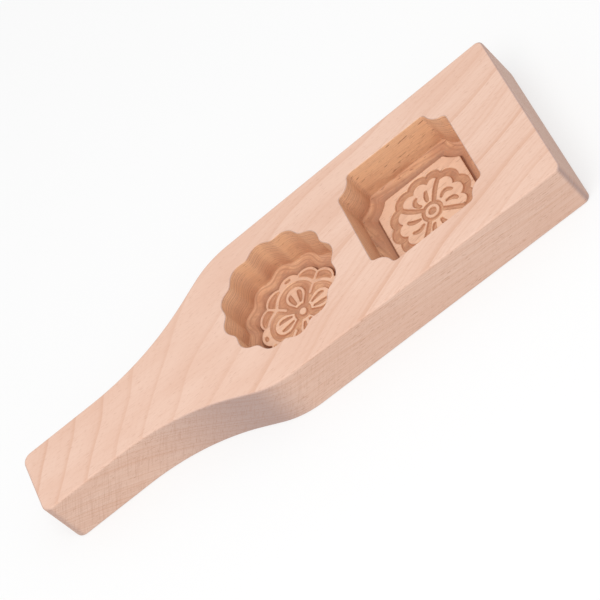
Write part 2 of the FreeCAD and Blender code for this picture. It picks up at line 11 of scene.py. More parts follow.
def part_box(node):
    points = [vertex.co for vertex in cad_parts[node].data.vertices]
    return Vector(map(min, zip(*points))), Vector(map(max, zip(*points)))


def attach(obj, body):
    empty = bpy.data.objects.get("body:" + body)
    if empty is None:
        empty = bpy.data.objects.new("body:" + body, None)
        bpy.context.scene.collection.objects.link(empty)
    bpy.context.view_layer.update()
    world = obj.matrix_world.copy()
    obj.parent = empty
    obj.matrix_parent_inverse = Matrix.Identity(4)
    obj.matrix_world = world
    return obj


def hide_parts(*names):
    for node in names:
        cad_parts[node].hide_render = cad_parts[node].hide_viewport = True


bl_info = {
    "name": "Carved Mooncake Mould",
    "version": (1, 0, 0),
    "blender": (4, 5, 0),
    "location": "View3D > Sidebar > Mooncake Mould",
    "description": "Builds a two-cavity beech mooncake mould on its packed frame",
    "category": "Add Mesh",
}

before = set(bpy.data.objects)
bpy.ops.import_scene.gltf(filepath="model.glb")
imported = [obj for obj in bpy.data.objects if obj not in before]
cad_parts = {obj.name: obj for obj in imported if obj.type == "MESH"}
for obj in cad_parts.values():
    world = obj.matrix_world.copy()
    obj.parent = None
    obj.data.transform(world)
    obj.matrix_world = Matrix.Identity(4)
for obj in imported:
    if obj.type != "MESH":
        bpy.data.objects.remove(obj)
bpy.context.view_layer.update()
NODE = "mould_body"
LOW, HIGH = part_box(NODE)
LENGTH, WIDTH, THICKNESS = HIGH - LOW
MM = 0.001
QUARTER_TURN = math.pi / 2

# Corners in each row of a cavity, the step between rows of its panel, and the distance from its
# centre inside which every second corner is left out.
COLUMNS = 480
ROW_STEP = 0.3 * MM
COARSE_INSIDE = 12 * MM

# A narrow flat strip beside each eased edge keeps the shading of the flat face even.
FLAT_BESIDE = 0.2 * MM
WELD = 0.01 * MM
SQUARE_SIDES = 4

# Edges that bend more than this are shaded as edges.
CREASE = math.radians(50)

# The photograph's view and the large lamp above it.
CAMERA_SPOT = (0.3001, -1.1035, 1.1073)
CAMERA_RIGHT = (0.77162, -0.33221, -0.54243)
CAMERA_FORWARD = (-0.18491, 0.69879, -0.69101)
LAMP_SPOT = (-0.05, -0.48, 1.10)
LAMP_DIAMETER = 0.9


def length(name, description, default):
    """A size in metres that shows in the sidebar."""
    return FloatProperty(name=name, description=description, default=default, min=0.0,
                         subtype="DISTANCE", unit="LENGTH", precision=5)


def place(name, description, default):
    """A distance in metres that can lie on either side of the middle."""
    return FloatProperty(name=name, description=description, default=default,
                         subtype="DISTANCE", unit="LENGTH", precision=5)


def colour(name, description, default):
    """A colour that shows in the sidebar."""
    return FloatVectorProperty(name=name, description=description, default=default,
                               subtype="COLOR", size=3, min=0.0, max=1.0)


class PlankSizes(bpy.types.PropertyGroup):
    """The plank around the cavities."""

    handle_width: length("Handle Width", "Straight part of the handle", 39.6 * MM)
    shoulder_width: length("Shoulder Width", "Head where the shoulder ends", 95.6 * MM)
    head_width: length("Head Width", "Head at its far end", WIDTH)
    head_length: length("Head Length", "Shoulder end to head end", 159.0 * MM)
    neck_radius: length("Neck Radius", "Hollow between handle and flank", 132.0 * MM)
    flank_angle: FloatProperty(name="Flank Angle", description="Straight flank against the long axis",
                               default=math.radians(29.0), subtype="ANGLE", unit="ROTATION")
    shoulder_radius: length("Shoulder Radius", "Round between flank and head", 47.5 * MM)
    corner_radius: length("Corner Radius", "Upright corners of the handle end", 5.0 * MM)
    head_corner_radius: length("Head Corner Radius", "Upright corners of the head end", 3.6 * MM)
    edge_radius: length("Edge Radius", "Sanded edges of both broad faces", 1.0 * MM)
    edge_steps: IntProperty(name="Edge Steps", description="Faces across a sanded edge", default=4, min=1)


class CavitySizes(bpy.types.PropertyGroup):
    """Both cavities and their carving."""

    depth: length("Depth", "Face to cavity floor", 22.0 * MM)
    rim_ease: length("Rim Ease", "Sanded edge where a wall meets the face", 0.45 * MM)
    wall_lean: length("Wall Lean", "How far the wall's foot stands inside its rim", 0.25 * MM)
    foot_round: length("Foot Round", "Hollow between wall and ledge", 0.6 * MM)
    ledge_width: length("Ledge Width", "Rim to the inner side of the ledge", 4.5 * MM)
    ledge_fall: length("Ledge Fall", "Drop of the ledge from the wall to the border groove", 0.8 * MM)
    border_width: length("Border Width", "Groove between ledge and flower panel", 3.3 * MM)
    border_depth: length("Border Depth", "Border groove below the floor", 1.6 * MM)
    border_slope: length("Border Slope", "Sloping outer side of the border groove", 1.7 * MM)
    carving_depth: length("Carving Depth", "Gouge cuts below the floor", 1.4 * MM)
    cut_edge: length("Cut Edge", "Width of the steep side of a gouge cut", 0.55 * MM)
    round_x: place("Round X", "Centre of the round cavity along the mould",
                   HIGH.x - (66.2 + 79.3) * MM)
    round_y: place("Round Y", "Centre of the round cavity across the mould", 1.9 * MM)
    round_diameter: length("Round Diameter", "Across opposite lobes", 65.2 * MM)
    scallop_depth: length("Scallop Depth", "Lobe tip to the ridge between lobes", 2.4 * MM)
    lobes: IntProperty(name="Lobes", description="Lobes of the round wall", default=12, min=3)
    petals: IntProperty(name="Petals", description="Petals of the round flower", default=4, min=2)
    square_x: place("Square X", "Centre of the square cavity along the mould", HIGH.x - 66.2 * MM)
    square_y: place("Square Y", "Centre of the square cavity across the mould", 1.0 * MM)
    square_side: length("Square Side", "Between opposite walls", 65.5 * MM)
    corner_bulge: length("Corner Bulge", "Wood left standing in each corner", 9.0 * MM)
    bulge_ease: length("Bulge Ease", "Round between wall and corner bulge", 2.5 * MM)


class WoodColours(bpy.types.PropertyGroup):
    """Pale beech, sanded and left bare, with the tones of its painted light and shade."""

    pale: colour("Pale Wood", "Early wood between the growth lines", (0.68, 0.47, 0.375))
    warm: colour("Warm Wood", "Slightly darker patches", (0.65, 0.43, 0.335))
    line: colour("Growth Line", "Late wood at the end of a year's growth", (0.56, 0.32, 0.22))
    # The fleck tone also serves as painted shade at the bottom of the deepest cuts.
    fleck_and_shade: colour("Ray Fleck", "Short dark rays and pores", (0.36, 0.17, 0.10))
    # The cavity wall tone is partly the bare wood the cutter left and partly painted warm bounce light, and
    # it is laid over everything inside the cavities.
    wall: colour("Cavity Wall", "Wood left by the cutter, not sanded", (0.85, 0.53, 0.315))
    # The scorched tone lies in random rubbed patches that grow towards the foot of each wall; the growth is
    # painted shade.
    scorched: colour("Scorched Wall", "Where the cutter rubbed the wall", (0.58, 0.27, 0.145))
    # The carved line tone is partly torn wood and partly painted shade in the hollows of the cuts.
    carved: colour("Carved Line", "Torn and scorched wood at the bottom of a cut", (0.43, 0.205, 0.12))
    # Painted shadow, with some scorched wood, beside the foot of each panel's side and on the steepest sides
    # of cuts.
    corner_shadow_and_scorch: colour("Deep Corner", "Dark wood at the foot of a steep cut", (0.13, 0.05, 0.03))
    end_grain: colour("End Grain", "Tone of wood cut across its fibres", (0.385, 0.275, 0.25))


class StageSettings(bpy.types.PropertyGroup):
    """Light table, light and camera."""

    floor_colour: colour("Table", "Plain pale table top", (0.26, 0.26, 0.26))
    floor_glow: FloatProperty(name="Table Glow", description="Light that comes through the table top",
                              default=0.65, min=0.0)
    sky_strength: FloatProperty(name="Sky Strength", description="Soft light from all around",
                                default=0.82, min=0.0)
    key_power: FloatProperty(name="Key Power", description="Large soft light above", default=8.6,
                             subtype="POWER", unit="POWER")
    lens: FloatProperty(name="Lens", description="Focal length of the camera in millimetres",
                        default=198.5, subtype="DISTANCE_CAMERA", unit="CAMERA")


def arc(centre, radius, first, last, steps, hollow=False):
    """Points on an arc with the direction that faces out of the wood."""
    found = []
    for step in range(steps + 1):
        turn = first + (last - first) * step / steps
        way = Vector((math.cos(turn), math.sin(turn)))
        found.append((Vector(centre) + way * radius, -way if hollow else way))
    return found


def plank_outline(plank):
    """The whole outline from the handle end round to the handle end again."""
    corner_steps, neck_steps, shoulder_steps = 8, 24, 12
    half_length = LENGTH / 2
    corner = plank.corner_radius
    head_corner = plank.head_corner_radius
    handle_side = plank.handle_width / 2
    shoulder_y = plank.shoulder_width / 2
    head_y = plank.head_width / 2
    shoulder_x = half_length - plank.head_length
    flank = plank.flank_angle
    flare = math.atan2(head_y - shoulder_y, plank.head_length - head_corner)
    shoulder_centre = Vector((shoulder_x + plank.shoulder_radius * math.sin(flare),
                              shoulder_y - plank.shoulder_radius * math.cos(flare)))
    flank_top = shoulder_centre + plank.shoulder_radius * Vector((-math.sin(flank), math.cos(flank)))
    neck_rise = plank.neck_radius * (1 - math.cos(flank))
    flank_run = (flank_top.y - handle_side - neck_rise) / math.sin(flank)
    flank_foot = flank_top - flank_run * Vector((math.cos(flank), math.sin(flank)))
    neck_centre = flank_foot + plank.neck_radius * Vector((-math.sin(flank), math.cos(flank)))
    half = arc((corner - half_length, handle_side - corner), corner, math.pi, QUARTER_TURN, corner_steps)
    half += arc(neck_centre, plank.neck_radius, -QUARTER_TURN, flank - QUARTER_TURN, neck_steps,
                hollow=True)
    half += arc(shoulder_centre, plank.shoulder_radius, flank + QUARTER_TURN, flare + QUARTER_TURN,
                shoulder_steps)
    half += arc((half_length - head_corner, head_y - head_corner), head_corner, QUARTER_TURN + flare, 0,
                corner_steps)
    mirrored = [(Vector((spot.x, -spot.y)), Vector((way.x, -way.y))) for spot, way in reversed(half)]
    return half + mirrored


def inward(radii, turns, inset):
    """The same closed line moved towards the middle, read again at each direction."""
    if not inset:
        return radii
    x = radii * np.cos(turns)
    y = radii * np.sin(turns)
    along_x = np.gradient(x, turns)
    along_y = np.gradient(y, turns)
    size = np.hypot(along_x, along_y)
    moved_x = x - inset * along_y / size
    moved_y = y + inset * along_x / size
    moved_turns = np.unwrap(np.arctan2(moved_y, moved_x))
    return np.interp(turns, moved_turns, np.hypot(moved_x, moved_y))


def lobed_radius(turns, cusps, peak, cusp, fullness=2.2):
    """Rounded lobes between sharp cusps, given as directions in rising order."""
    around = np.append(cusps, cusps[0] + 2 * math.pi)
    folded = (turns - cusps[0]) % (2 * math.pi) + cusps[0]
    index = np.clip(np.searchsorted(around, folded, side="right") - 1, 0, len(cusps) - 1)
    share = (folded - around[index]) / (around[index + 1] - around[index])
    bow = 1 - np.abs(2 * share - 1) ** fullness
    return cusp + (peak - cusp) * bow


def round_radius(cavity, turns):
    """Wavy rim of the round cavity, its lobes a little fuller than a plain wave."""
    wave = np.cos(cavity.lobes * turns)
    swell = 0.05 * cavity.scallop_depth * (1 - np.cos(2 * cavity.lobes * turns))
    return cavity.round_diameter / 2 - cavity.scallop_depth * (1 - wave) / 2 + swell


def square_radius(cavity, turns, inset):
    """Square with quarter rounds left standing in its corners, moved inwards."""
    straight_steps, ease_steps, bulge_steps = 20, 12, 24
    half = cavity.square_side / 2 - inset
    corner = cavity.square_side / 2
    bulge = cavity.corner_bulge + inset
    ease = max(cavity.bulge_ease - inset, 0.55 * cavity.bulge_ease)
    drop = corner - math.sqrt((bulge + ease) ** 2 - (ease + inset) ** 2)
    lean = math.asin((ease + inset) / (bulge + ease))
    straight = [(half, drop * step / straight_steps) for step in range(straight_steps + 1)]
    eased = [spot for spot, way in arc((half - ease, drop), ease, 0, QUARTER_TURN - lean, ease_steps)]
    bulged = [spot for spot, way in
              arc((corner, corner), bulge, 3 * QUARTER_TURN - lean, 2.5 * QUARTER_TURN, bulge_steps)]
    line = np.array([tuple(spot) for spot in straight + eased + bulged])
    line_turns = np.arctan2(line[:, 1], line[:, 0])
    folded = np.abs((turns + QUARTER_TURN / 2) % QUARTER_TURN - QUARTER_TURN / 2)
    return np.interp(folded, line_turns, np.hypot(line[:, 0], line[:, 1]))


def round_outline(cavity):
    """The round cavity's rim as a function of the directions and an inset."""
    def outline(turns, inset):
        step = turns[1] - turns[0]
        wide = np.arange(turns[0] - 12 * step, turns[-1] + 12.5 * step, step / 4)
        return np.interp(turns, wide, inward(round_radius(cavity, wide), wide, inset))
    return outline


def round_panel_edge(cavity):
    """The edge of the round panel as a function of the directions."""
    def edge(turns):
        peak = cavity.round_diameter / 2 - cavity.ledge_width - cavity.border_width
        half = math.pi / cavity.lobes
        cusps = np.arange(cavity.lobes) * 2 * half - math.pi + half
        return lobed_radius(turns, cusps, peak, peak - cavity.scallop_depth)
    return edge


def square_outline(cavity):
    """The square cavity's rim as a function of the directions and an inset."""
    def outline(turns, inset):
        return square_radius(cavity, turns, inset)
    return outline


def square_panel_edge(cavity):
    """The edge of the square panel as a function of the directions."""
    def edge(turns):
        return square_radius(cavity, turns, cavity.ledge_width + cavity.border_width)
    return edge


def steep(inside, edge):
    """0 outside a cut and 1 in it, with a rounded step at its side."""
    share = np.clip(inside / edge + 0.5, 0.0, 1.0)
    return share * share * (3 - 2 * share)


def gouged(inside, edge):
    """Depth of a cut as a share: steep at its sides and slightly hollow between them."""
    foot = 0.72
    hollow = np.clip(inside / (2 * edge), 0.0, 1.0)
    return steep(inside, edge) * (foot + (1 - foot) * hollow)


def stroke(x, y, points, half_width, taper=0.35):
    """How far each spot lies inside a gouge cut that runs through three points."""
    first, middle, last = (np.array(point) for point in points)
    steps = np.linspace(0.0, 1.0, 13)[:, None]
    path = first * (2 * steps - 1) * (steps - 1)
    path = path + middle * 4 * steps * (1 - steps) + last * steps * (2 * steps - 1)
    widths = half_width * (1 - taper + taper * np.sin(math.pi * steps[:, 0]))
    inside = np.full(x.shape, -1.0)
    for start, end, near, far in zip(path[:-1], path[1:], widths[:-1], widths[1:]):
        run = end - start
        share = ((x - start[0]) * run[0] + (y - start[1]) * run[1]) / (run @ run)
        share = np.clip(share, 0.0, 1.0)
        gap = np.hypot(x - start[0] - share * run[0], y - start[1] - share * run[1])
        inside = np.maximum(inside, near + share * (far - near) - gap)
    return inside


def petal_distance(x, y):
    """Distance outside a petal that swells from its root to its round end."""
    root, middle = 3.9 * MM, 11.1 * MM
    root_half, end_half = 1.6 * MM, 5.5 * MM
    run = middle - root
    slope = (root_half - end_half) / run
    side = math.sqrt(1 - slope * slope)
    across = np.abs(y)
    along = x - root
    reach = across * -slope + along * side
    flank = across * side + along * slope - root_half
    near = np.hypot(along, across) - root_half
    far = np.hypot(along - run, across) - end_half
    return np.where(reach < 0, near, np.where(reach > side * run, far, flank))


def round_carving(x, y, cavity):
    """Depth of the round flower's cuts in the wedge around the petal on the X axis."""
    eye_inside, halo_inside, eye_outside = 2.1 * MM, 3.0 * MM, 4.6 * MM
    halo_centre, halo_radius, halo_ridge = 9.1 * MM, 10.4 * MM, 1.8 * MM
    spine_start, spine_half, moon_spine_half = 10.6 * MM, 0.8 * MM, 0.75 * MM
    leaf_half, rib_half, edge_ridge = 1.15 * MM, 0.9 * MM, 1.5 * MM
    seed_half, seed_turn = 0.95 * MM, 0.3
    leaf_points = ((6.6 * MM, 1.6 * MM), (10.8 * MM, 2.6 * MM), (13.0 * MM, 2.35 * MM))
    seed_points = ((22.4 * MM, -1.0 * MM), (22.5 * MM, 0.0), (22.4 * MM, 1.0 * MM))
    across = np.abs(y)
    radius = np.hypot(x, y)
    turns = np.arctan2(y, x)
    half_wedge = math.pi / cavity.petals
    along_side = x * math.cos(half_wedge) + across * math.sin(half_wedge)
    from_side = np.abs(x * math.sin(half_wedge) - across * math.cos(half_wedge))
    past_petal = petal_distance(x, y)
    past_halo = np.hypot(x - halo_centre, y) - halo_radius
    past_spine = np.hypot(np.maximum(spine_start - along_side, 0), from_side) - spine_half
    to_edge = round_panel_edge(cavity)(turns) - radius
    eye = np.minimum(radius - eye_inside, eye_outside - radius)
    halo = np.minimum.reduce([past_petal, -past_halo, past_spine, radius - halo_inside])
    leaf = np.minimum(stroke(x, across, leaf_points, leaf_half, taper=0.45), across - rib_half)
    moon = np.minimum.reduce([to_edge - edge_ridge, past_halo - halo_ridge, from_side - moon_spine_half,
                              (np.abs(turns) - seed_turn) * radius])
    seed = stroke(x, y, seed_points, seed_half)
    # The floor of the halo falls towards its petal, that of each moon falls outwards.
    halo_slope = np.interp(past_petal, (0.8 * MM, 3.5 * MM), (1.0, 0.65))
    moon_slope = np.interp(past_halo, (halo_ridge, 4.2 * MM), (0.3, 1.0))
    edge = cavity.cut_edge
    depth = np.maximum.reduce([gouged(eye, edge), gouged(leaf, edge), gouged(seed, edge),
                               gouged(halo, edge) * halo_slope, gouged(moon, edge) * moon_slope])
    return depth * cavity.carving_depth


# The square flower was drawn as listed: cusps between the tips of its petals as degrees, and three
# points along each cut, as millimetres from its centre and degrees.
FLOWER_CUSPS = (-33, -8.5, 22.8, 53.7, 76, 105.5, 135.6, 164, 192.5, 221, 250.5, 279, 303)
PETAL_SPLITS = (
    ((5.2, 57), (13.3, 58.3), (19.4, 54.8)),
    ((5.2, 134), (12.9, 138.5), (19.4, 134.4)),
    ((5.2, 231), (12.5, 233), (19.4, 231)),
    ((5.2, -31), (13.3, -34.8), (19.4, -35.6)),
)
PETAL_VEINS = (
    ((13.9, 16), (11.8, 29.2), (8.4, 28.6)),
    ((14.0, -12.8), (12.1, -5.6), (8.8, -2)),
    ((13.7, 108.7), (11.7, 119.5), (8.0, 119.8)),
    ((12.8, 83.0), (9.9, 86.4), (7.4, 87.5)),
    ((13.5, 166), (10.9, 172.9), (7.4, 178)),
    ((13.7, 198), (11.5, 207.6), (8.2, 209)),
    ((13.5, 258), (10.9, 252), (8.0, 255)),
    ((13.6, 290), (11.5, 284), (8.3, 284)),
)


def polar(radius, degrees):
    """A spot in metres from millimetres and degrees about a cavity's centre."""
    turn = math.radians(degrees)
    return (radius * MM * math.cos(turn), radius * MM * math.sin(turn))


def square_carving(x, y, cavity):
    """Depth of the cuts of the broad flower in the square cavity."""
    eye_radius, ring_inside, ring_outside = 2.1 * MM, 4.0 * MM, 5.9 * MM
    petal_tip, petal_cusp = 19.2 * MM, 16.6 * MM
    border_tip, border_cusp = 23.6 * MM, 21.7 * MM
    split_half, vein_half = 1.3 * MM, 1.2 * MM
    radius = np.hypot(x, y)
    turns = np.arctan2(y, x)
    cusps = np.radians(FLOWER_CUSPS)
    petals = lobed_radius(turns, cusps, petal_tip, petal_cusp)
    border = lobed_radius(turns, cusps, border_tip, border_cusp)
    cuts = [
        eye_radius - radius,
        np.minimum(radius - ring_inside, ring_outside - radius),
        np.minimum(radius - petals, border - radius),
    ]
    for points in PETAL_SPLITS:
        cuts.append(stroke(x, y, [polar(*point) for point in points], split_half, taper=0.15))
    for points in PETAL_VEINS:
        cuts.append(stroke(x, y, [polar(*point) for point in points], vein_half))
    depth = np.maximum.reduce([gouged(cut, cavity.cut_edge) for cut in cuts])
    return depth * cavity.carving_depth


def wall_rows(cavity, outline, panel_edge):
    """Radii and heights from the rim down the wall, along the ledge and through the border groove.

    outline gives the radii of the rim moved inwards, panel_edge those of the panel.
    """
    round_steps, ledge_steps = 3, 8
    floor = THICKNESS - cavity.depth
    ease = cavity.rim_ease
    lean = cavity.wall_lean
    foot = cavity.foot_round
    rows = [(outline(-ease - FLAT_BESIDE), THICKNESS)]
    for step in range(round_steps + 1):
        turn = QUARTER_TURN * step / round_steps
        rows.append((outline(-ease * (1 - math.sin(turn))), THICKNESS - ease * (1 - math.cos(turn))))
    ledge_top = floor + cavity.ledge_fall
    for share in (0.01, 0.2, 0.4, 0.6, 0.8, 0.99, 1.0):
        rows.append((outline(lean * share), (THICKNESS - ease) * (1 - share) + (ledge_top + foot) * share))
    for step in range(1, round_steps + 1):
        turn = QUARTER_TURN * step / round_steps
        rows.append((outline(lean + foot * (1 - math.cos(turn))), ledge_top + foot * (1 - math.sin(turn))))
    ledge_start = lean + foot
    for step in range(1, ledge_steps + 1):
        inset = ledge_start + (cavity.ledge_width - ledge_start) * step / ledge_steps
        rows.append((outline(inset), ledge_top - cavity.ledge_fall * step / ledge_steps))
    ledge_end = outline(cavity.ledge_width)
    slope_end = cavity.border_slope / cavity.border_width
    # Share of the way from the ledge to the panel, and share of the groove's depth.
    groove = ((0.1, 0.08), (0.3, 0.45), (slope_end, 0.9), (0.62, 1.0), (0.86, 1.0), (0.92, 0.9),
              (0.97, 0.45), (1.0, 0.1))
    for share, drop in groove:
        rows.append((ledge_end + (panel_edge - ledge_end) * share, floor - cavity.border_depth * drop))
    return rows


def panel_rows(cavity, turns, panel_edge, carving):
    """Rows of the carved panel, from its edge to close to its middle."""
    floor = THICKNESS - cavity.depth
    edge_drop = 0.03 * cavity.border_depth
    steps = int(panel_edge.max() / ROW_STEP)
    rows = []
    for step in range(1, steps - 1):
        radii = panel_edge * (1 - step / steps)
        picked = slice(None, None, 2 if radii.max() < COARSE_INSIDE else 1)
        x = (radii * np.cos(turns))[picked]
        y = (radii * np.sin(turns))[picked]
        drop = edge_drop if step == 1 else 0.0
        rows.append((x, y, floor - drop - carving(x, y, cavity)))
    return rows


def weave(mesh, rows, closed, centre_height):
    """Join rows of corners with faces and close the middle with a fan."""
    corners = []
    for x, y, z in rows:
        corners.append([mesh.verts.new(spot) for spot in zip(x, y, np.broadcast_to(z, x.shape))])
    for outer, inner in zip(corners[:-1], corners[1:]):
        count = len(outer) if closed else len(outer) - 1
        if len(inner) == len(outer):
            for i in range(count):
                j = (i + 1) % len(outer)
                mesh.faces.new((outer[i], outer[j], inner[j], inner[i]))
            continue
        # The inner row has half as many corners, so each of its faces meets two outer ones.
        for i in range(0, count, 2):
            j, k = i + 1, (i + 2) % len(outer)
            low, high = inner[i // 2], inner[(i // 2 + 1) % len(inner)]
            mesh.faces.new((outer[i], outer[j], low))
            mesh.faces.new((outer[j], high, low))
            mesh.faces.new((outer[j], outer[k], high))
    middle = mesh.verts.new((0, 0, centre_height))
    last = corners[-1]
    for i in range(len(last) if closed else len(last) - 1):
        mesh.faces.new((last[i], last[(i + 1) % len(last)], middle))


def wedge_turns(share):
    """Directions across one wedge, centred on the X axis, with both sides."""
    half = math.pi / share
    return np.linspace(-half, half, COLUMNS // share + 1)


def all_turns(share):
    """The same directions all the way round, wedge by wedge, each without its last side."""
    wedge = wedge_turns(share)[:-1]
    return [wedge + 2 * math.pi * number / share for number in range(share)]


def carved_mesh(cavity, turns, outline, panel_edge, carving, closed):
    """A cavity or a wedge of one about the origin, from its rim to its middle."""
    edge = panel_edge(turns)
    rows = []
    for radii, height in wall_rows(cavity, lambda inset: outline(turns, inset), edge):
        rows.append((radii * np.cos(turns), radii * np.sin(turns), height))
    rows += panel_rows(cavity, turns, edge, carving)
    middle = np.zeros(1)
    mesh = bmesh.new()
    weave(mesh, rows, closed, THICKNESS - cavity.depth - float(carving(middle, middle, cavity)[0]))
    return mesh


def rim_points(cavity, centre, outline, share):
    """The rim where a cavity's eased edge meets the upper face."""
    radii = outline(wedge_turns(share), -cavity.rim_ease - FLAT_BESIDE)[:-1]
    spots = []
    for turns in all_turns(share):
        spots += [(centre[0] + r * math.cos(t), centre[1] + r * math.sin(t)) for r, t in zip(radii, turns)]
    return spots


def new_object(name, mesh_code):
    """A mesh object in the scene, from bmesh data."""
    data = bpy.data.meshes.new(name)
    mesh_code.to_mesh(data)
    mesh_code.free()
    thing = bpy.data.objects.new(name, data)
    bpy.context.scene.collection.objects.link(thing)
    return thing


def repeat_tree():
    """Geometry nodes that repeat a wedge around a centre and weld its sides."""
    tree = bpy.data.node_groups.new("repeat_around_centre", "GeometryNodeTree")
    face = tree.interface
    face.new_socket("Wedge", in_out="INPUT", socket_type="NodeSocketGeometry")
    face.new_socket("Count", in_out="INPUT", socket_type="NodeSocketInt")
    face.new_socket("Centre", in_out="INPUT", socket_type="NodeSocketVector")
    face.new_socket("Weld Distance", in_out="INPUT", socket_type="NodeSocketFloat")
    face.new_socket("Wood", in_out="INPUT", socket_type="NodeSocketMaterial")
    face.new_socket("Geometry", in_out="OUTPUT", socket_type="NodeSocketGeometry")
    add = tree.nodes.new
    join = tree.links.new
    given = add("NodeGroupInput")
    points = add("GeometryNodePoints")
    index = add("GeometryNodeInputIndex")
    step = add("ShaderNodeMath")
    step.operation = "DIVIDE"
    step.inputs[0].default_value = 2 * math.pi
    turn = add("ShaderNodeMath")
    turn.operation = "MULTIPLY"
    spin = add("ShaderNodeCombineXYZ")
    copies = add("GeometryNodeInstanceOnPoints")
    real = add("GeometryNodeRealizeInstances")
    weld = add("GeometryNodeMergeByDistance")
    paint = add("GeometryNodeSetMaterial")
    result = add("NodeGroupOutput")
    join(given.outputs["Count"], points.inputs["Count"])
    join(given.outputs["Centre"], points.inputs["Position"])
    join(given.outputs["Count"], step.inputs[1])
    join(index.outputs["Index"], turn.inputs[0])
    join(step.outputs[0], turn.inputs[1])
    join(turn.outputs[0], spin.inputs["Z"])
    join(points.outputs["Points"], copies.inputs["Points"])
    join(given.outputs["Wedge"], copies.inputs["Instance"])
    join(spin.outputs["Vector"], copies.inputs["Rotation"])
    join(copies.outputs["Instances"], real.inputs["Geometry"])
    join(real.outputs["Geometry"], weld.inputs["Geometry"])
    join(given.outputs["Weld Distance"], weld.inputs["Distance"])
    join(weld.outputs["Geometry"], paint.inputs["Geometry"])
    join(given.outputs["Wood"], paint.inputs["Material"])
    join(paint.outputs["Geometry"], result.inputs["Geometry"])
    return tree


def repeat_wedge(wedge, name, count, centre):
    """Run the repeat nodes on a wedge and keep their result as a plain mesh."""
    modifier = wedge.modifiers.new("repeat", "NODES")
    modifier.node_group = repeat_tree()
    sockets = {item.name: item.identifier for item in modifier.node_group.interface.items_tree
               if item.in_out == "INPUT"}
    modifier[sockets["Count"]] = count
    modifier[sockets["Centre"]] = centre
    modifier[sockets["Weld Distance"]] = WELD
    modifier[sockets["Wood"]] = beech()
    graph = bpy.context.evaluated_depsgraph_get()
    data = bpy.data.meshes.new_from_object(wedge.evaluated_get(graph))
    bpy.data.objects.remove(wedge)
    whole = bpy.data.objects.new(name, data)
    bpy.context.scene.collection.objects.link(whole)


def past_edge(x, y, centre, panel_edge):
    """How far each spot lies outside a panel's edge, seen from its centre."""
    turns = np.arctan2(y - centre[1], x - centre[0])
    return np.hypot(x - centre[0], y - centre[1]) - panel_edge(turns)


def mark_cuts_and_shade(data, cavity):
    """Keep how rough each spot was cut and where painted shade goes: 0 on sanded faces, about 0.7 on the
    floor of a carved line.

    The steep sides of cuts and the corner at the foot of a panel's side go past 1 and are darkest, as
    painted shade.
    """
    spots = np.empty(len(data.vertices) * 3)
    data.vertices.foreach_get("co", spots)
    x, y, z = spots.reshape(-1, 3).T.copy()
    data.vertices.foreach_get("normal", spots)
    up = spots.reshape(-1, 3)[:, 2]
    round_centre = (cavity.round_x, cavity.round_y)
    square_centre = (cavity.square_x, cavity.square_y)
    # Both bounds lie just outside the rims, where the height still tells the sanded face.
    in_round = np.hypot(x - cavity.round_x, y - cavity.round_y) < 0.53 * cavity.round_diameter
    off_square = np.maximum(np.abs(x - cavity.square_x), np.abs(y - cavity.square_y))
    in_cavity = in_round | (off_square < 0.51 * cavity.square_side)
    past_panel = np.minimum(past_edge(x, y, round_centre, round_panel_edge(cavity)),
                            past_edge(x, y, square_centre, square_panel_edge(cavity)))

    floor = THICKNESS - cavity.depth
    # The walls are painted darker towards their foot: painted shade.
    wall_heights = (floor, floor + 7 * MM, THICKNESS - 3 * MM, THICKNESS - 0.5 * MM, THICKNESS)
    wall = np.interp(z, wall_heights, (0.54, 0.42, 0.32, 0.3, 0.0))
    # The ledge and border groove are painted darker towards the groove's bottom, and darkest beside the
    # panel's side: painted shade and painted shadow.
    groove_depths = (-0.5, -0.2, 0.05, 0.7, 1.0)
    groove = np.interp((floor - z) / cavity.border_depth, groove_depths, (0.5, 0.6, 0.72, 0.84, 0.95))
    groove += np.interp(past_panel, (0.6 * MM, 1.3 * MM), (0.5, 0.0))
    # Carved lines are painted darker the deeper they go, and darker still on their steep sides: painted
    # shade.
    line = np.clip((floor - z) / cavity.carving_depth, 0.0, 1.0)
    slope = np.where(line > 0.05, np.clip(1.6 * (1 - up), 0.0, 1.0), 0.0)
    panel = 0.12 + 0.57 * line + 0.5 * slope
    ledge_top = floor + cavity.ledge_fall + WELD
    cut = np.where(z < ledge_top, np.where(past_panel < 0, panel, groove), wall)
    cut = np.where(in_cavity, cut, 0.0)
    data.attributes.new("cut", "FLOAT", "POINT").data.foreach_set("value", cut.astype(np.float32))


